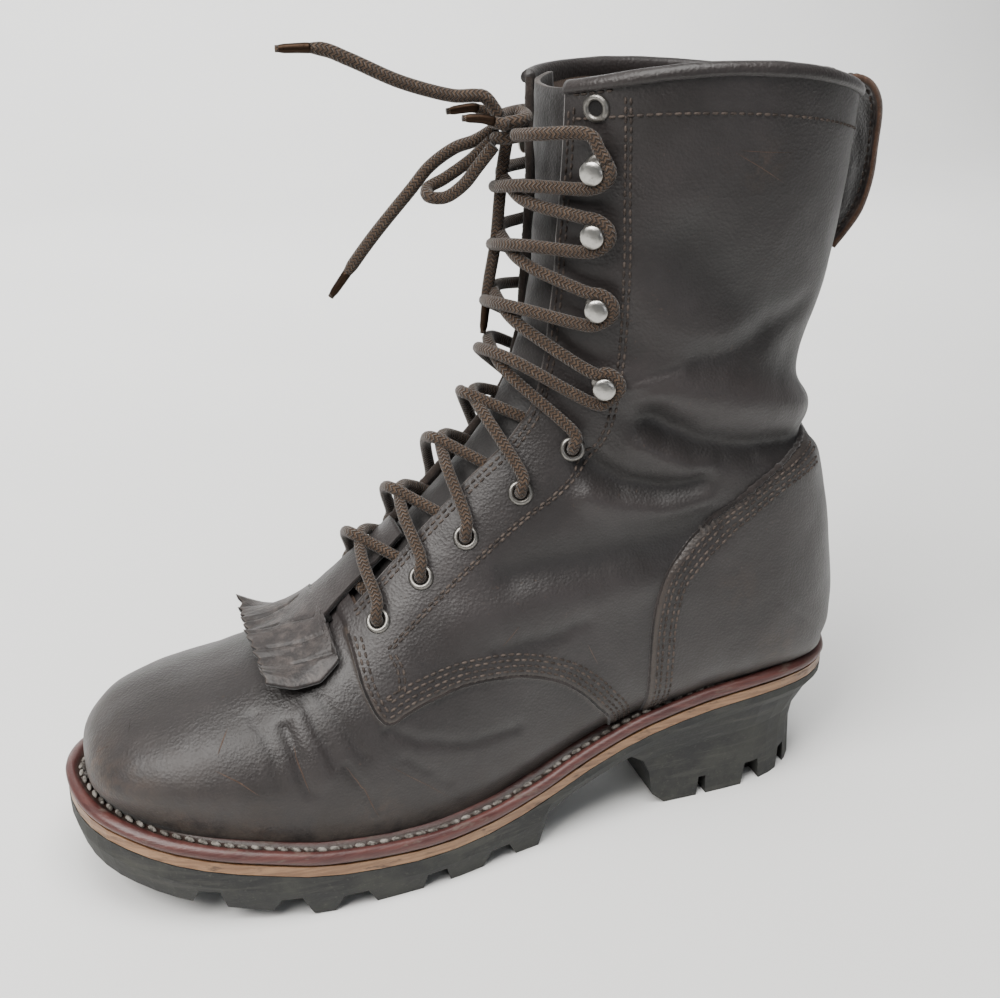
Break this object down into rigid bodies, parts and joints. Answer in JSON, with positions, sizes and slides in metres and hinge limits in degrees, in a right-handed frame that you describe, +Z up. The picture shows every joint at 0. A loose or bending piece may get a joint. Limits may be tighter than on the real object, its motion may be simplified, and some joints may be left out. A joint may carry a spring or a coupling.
{
  "type": "logger boot",
  "caption": "Tall lace-up leather logger boot with a high lugged heel, welted sole, kiltie tongue, rolled collar, rear pull loop and loosely tied laces.",
  "frame": {"origin": "middle of the heel's flat rest face, on the floor", "axes": "+X to the toe, +Y to the outer side of this left boot, +Z up"},
  "size_m": [0.3122, 0.1094, 0.298],
  "materials": {
    "boot_leather": "oiled, scuffed",
    "lace_cord": "braided",
    "sole_rubber": "dusty matte",
    "midsole_leather": "sanded edge",
    "welt_leather": "waxed edge",
    "insole_leather": "plain",
    "fitting_metal": "worn nickel"
  },
  "bodies": {
    "root": {"collar_binding": "boot_leather", "eyelet_inner_1": "fitting_metal", "eyelet_inner_2": "fitting_metal", "eyelet_inner_3": "fitting_metal", "eyelet_inner_4": "fitting_metal", "eyelet_inner_5": "fitting_metal", "eyelet_inner_6": "fitting_metal", "eyelet_outer_1": "fitting_metal", "eyelet_outer_2": "fitting_metal", "eyelet_outer_3": "fitting_metal", "eyelet_outer_4": "fitting_metal", "eyelet_outer_5": "fitting_metal", "eyelet_outer_6": "fitting_metal", "heel_counter": "boot_leather", "hook_inner_1": "fitting_metal", "hook_inner_2": "fitting_metal", "hook_inner_3": "fitting_metal", "hook_inner_4": "fitting_metal", "hook_outer_1": "fitting_metal", "hook_outer_2": "fitting_metal", "hook_outer_3": "fitting_metal", "hook_outer_4": "fitting_metal", "insole": "insole_leather", "kiltie": "boot_leather", "lace_crossings": "lace_cord", "lace_end_hanging": "lace_cord", "lace_end_long": "lace_cord", "lace_end_lower": "lace_cord", "lace_end_short": "lace_cord", "lace_end_tipped": "lace_cord", "lace_knot": "lace_cord", "lace_loop": "lace_cord", "lace_riser_inner": "lace_cord", "lace_riser_outer": "lace_cord", "midsole": "midsole_leather", "outsole": "sole_rubber", "pull_loop": "boot_leather", "tongue": "boot_leather", "upper": "boot_leather", "welt": "welt_leather"}
  },
  "joints": []
}
